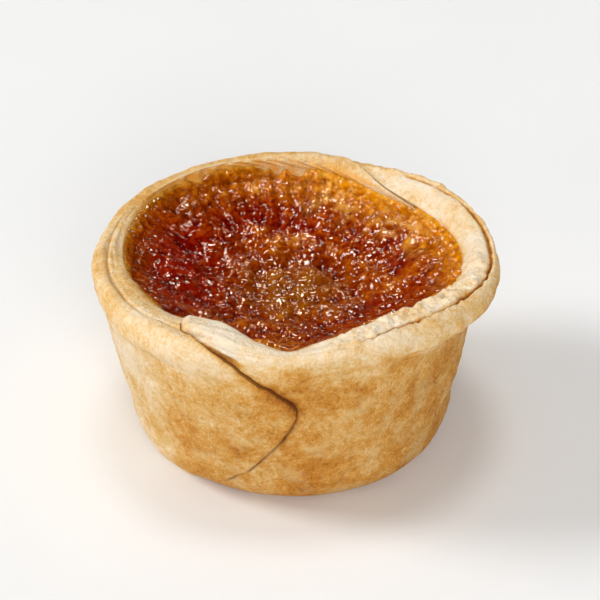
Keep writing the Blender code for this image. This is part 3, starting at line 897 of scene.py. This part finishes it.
def caramel_material():
    """Boiled sugar and butter filling, set and chewy: a wet-looking gloss over a lumpy surface, clear dark
    red where it is deep, ochre where it crystallised, and amber where it is thin by the wall."""
    material, add, shader, place = new_material("boiled butter and sugar caramel")
    red, ochre, amber, raised, pale, film = (
        add("ShaderNodeAttribute", output="Fac", attribute_name=mask)
        for mask in ("red", "ochre", "amber", "raised", "pale", "film")
    )
    # How far apart the spots are in mm, their detail, their roughness and their distortion
    grains = {
        "clots": (5.0, 2.0, 0.5, 0.6),
        "crystals": (1.2, 2.0, 0.6, 0.6),
        "wrinkles": (1.1, 0.0, 0.5, 0.3),
        "sugar": (0.45, 2.0, 0.6, 0.0),
    }
    spots = {}
    for name, (size, detail, rough, warp) in grains.items():
        inputs = {"Vector": place, "Scale": 1.0 / (size * MM), "Detail": detail}
        inputs.update({"Roughness": rough, "Distortion": warp})
        spots[name] = add("ShaderNodeTexNoise", inputs)
    clots, crystals = spots["clots"], spots["crystals"]

    # Warmer in clots and crystals and on the film. Lighter and warmer on raised lumps and darker in the cracks
    # between them: a glow and shade painted by height
    warm = -0.55
    for part, share in ((raised, 0.45), (clots, 0.55), (crystals, 1.1), (film, 0.18)):
        warm = add("ShaderNodeMath", {0: part, 1: share, 2: warm}, operation="MULTIPLY_ADD")
    dark_to_amber = (
        (0.02, "4A0200"),
        (0.22, "700D00"),
        (0.40, "892600"),
        (0.56, "9E4003"),
        (0.74, "B86008"),
        (0.97, "D68C1C"),
    )
    colour = add("ShaderNodeValToRGB", {"Fac": warm}, stops=dark_to_amber)

    # Layers over it: clear red, stronger in the cracks as painted shade, ochre crystals, amber where it is
    # thin, and pale where it is thinnest and along the fold at the back, where the pale streak is partly a
    # painted highlight
    depth = add("ShaderNodeMath", {0: clots, 1: 0.4}, operation="MULTIPLY")
    depth = add("ShaderNodeMath", {0: crystals, 1: 0.6, 2: depth}, operation="MULTIPLY_ADD")
    clear_red = ((0.36, "4C0000"), (0.5, "860A02"), (0.64, "A82808"))
    deep = add("ShaderNodeValToRGB", {"Fac": depth}, stops=clear_red)
    cool = add("ShaderNodeMath", {0: 1.25, 1: warm}, operation="SUBTRACT")
    crystallised = add("ShaderNodeMath", {0: warm, 1: 1.2}, operation="MULTIPLY")
    thin = add("ShaderNodeMath", {0: crystals, 1: 1.9, 2: -0.285}, operation="MULTIPLY_ADD")
    pale_strength = add("ShaderNodeMath", {0: crystals, 1: 1.9, 2: -0.38}, operation="MULTIPLY_ADD")
    layers = (
        (red, cool, deep),
        (ochre, crystallised, linear("8A5608")),
        (amber, thin, linear("EF9A08")),
        (pale, pale_strength, linear("F0B040")),
    )
    for mask, strength, over in layers:
        share = add("ShaderNodeMath", {0: mask, 1: strength}, operation="MULTIPLY", use_clamp=True)
        inputs = {MIX_SHARE: share, MIX_UNDER: colour, MIX_OVER: over}
        colour = add("ShaderNodeMix", inputs, MIX_COLOUR, data_type="RGBA")

    # Glossy with fine unevenness, and more wrinkled on the film
    roughness = add("ShaderNodeMath", {0: spots["sugar"], 1: 0.1, 2: 0.03}, operation="MULTIPLY_ADD")
    wrinkling = add("ShaderNodeMath", {0: film, 1: 0.9, 2: 1.0}, operation="MULTIPLY_ADD")
    wrinkles = add("ShaderNodeMath", {0: spots["wrinkles"], 1: wrinkling}, operation="MULTIPLY")
    bump = add("ShaderNodeBump", {"Height": wrinkles, "Strength": 1.0, "Distance": 0.26 * MM})
    fill_inputs(shader, {"Base Color": colour, "Roughness": roughness, "Normal": bump})
    shader.inputs["IOR"].default_value = 1.5
    shader.inputs["Specular IOR Level"].default_value = 0.5
    shader.inputs["Specular Tint"].default_value = (1.0, 0.88, 0.76, 1.0)
    shader.inputs["Subsurface Weight"].default_value = 0.45
    shader.inputs["Subsurface Radius"].default_value = (1.6, 0.5, 0.1)
    shader.inputs["Subsurface Scale"].default_value = 0.9 * MM
    return material


def table_material():
    """Matt white laminate of the table top: near white, in two shades that barely differ, 60 mm apart."""
    material, add, shader, place = new_material("matt white laminate")
    inputs = {"Vector": place, "Scale": 1.0 / (60.0 * MM), "Detail": 2.0, "Roughness": 0.5}
    tone = add("ShaderNodeTexNoise", inputs)
    colour = add("ShaderNodeValToRGB", {"Fac": tone}, stops=((0.3, "F3F3F2"), (0.7, "F5F5F4")))
    fill_inputs(shader, {"Base Color": colour})
    shader.inputs["Roughness"].default_value = 0.9
    shader.inputs["Specular IOR Level"].default_value = 0.0
    return material


def area_light(name, azimuth, elevation, distance, size, power):
    """A round softbox that faces the tart from a direction."""
    light = bpy.data.lights.new(name, "AREA")
    light.shape = "DISK"
    light.size = size
    light.energy = power
    made = bpy.data.objects.new(name, light)
    bpy.context.scene.collection.objects.link(made)
    flat = distance * math.cos(math.radians(elevation))
    made.location = (
        flat * math.cos(math.radians(azimuth)),
        flat * math.sin(math.radians(azimuth)),
        distance * math.sin(math.radians(elevation)),
    )
    made.rotation_euler = (math.radians(90.0 - elevation), 0.0, math.radians(azimuth + 90.0))
    return made


pastry = build_pastry()
pastry.data.materials.append(shortcrust_material())
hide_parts("pastry_shell")
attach(pastry, "root")

filling = build_filling()
filling.data.materials.append(caramel_material())
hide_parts("filling")
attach(filling, "root")

table_points = np.array([[-3.0, -3.0, 0.0], [3.0, -3.0, 0.0], [3.0, 3.0, 0.0], [-3.0, 3.0, 0.0]])
table = mesh_object("table_top", table_points, [[0, 1, 2, 3]], {})
table.data.materials.append(table_material())

world = bpy.data.worlds.new("even studio light")
bpy.context.scene.world = world
world.use_nodes = True
fill_inputs(world.node_tree.nodes["Background"], {"Color": (1.0, 1.0, 1.0, 1.0), "Strength": 0.27})
world.cycles_visibility.glossy = False
area_light("key softbox", azimuth=173.0, elevation=33.0, distance=4.0, size=1.5, power=92.0)
fill = area_light("front fill", azimuth=-84.0, elevation=28.0, distance=5.0, size=2.6, power=128.0)
top = area_light("top softbox", azimuth=90.0, elevation=84.0, distance=2.0, size=0.6, power=8.0)
fill.visible_glossy = False
top.visible_glossy = False
for name, (azimuth, elevation, size, power) in GLINTS.items():
    glint = area_light(name + " glint softbox", azimuth, elevation, GLINT_DISTANCE, size, power)
    glint.data.color = WARM_WHITE
    glint.visible_diffuse = False

camera_data = bpy.data.cameras.new("camera")
camera_data.sensor_width = 36.0
camera_data.lens = CAMERA_LENS_MM
camera_data.clip_start = 0.01
camera = bpy.data.objects.new("camera", camera_data)
bpy.context.scene.collection.objects.link(camera)
camera.location = CAMERA_PLACE
camera.rotation_euler = (math.radians(90.0 - CAMERA_DOWNWARD_ANGLE), 0.0, 0.0)
bpy.context.scene.camera = camera
bpy.context.scene.view_settings.view_transform = "Standard"
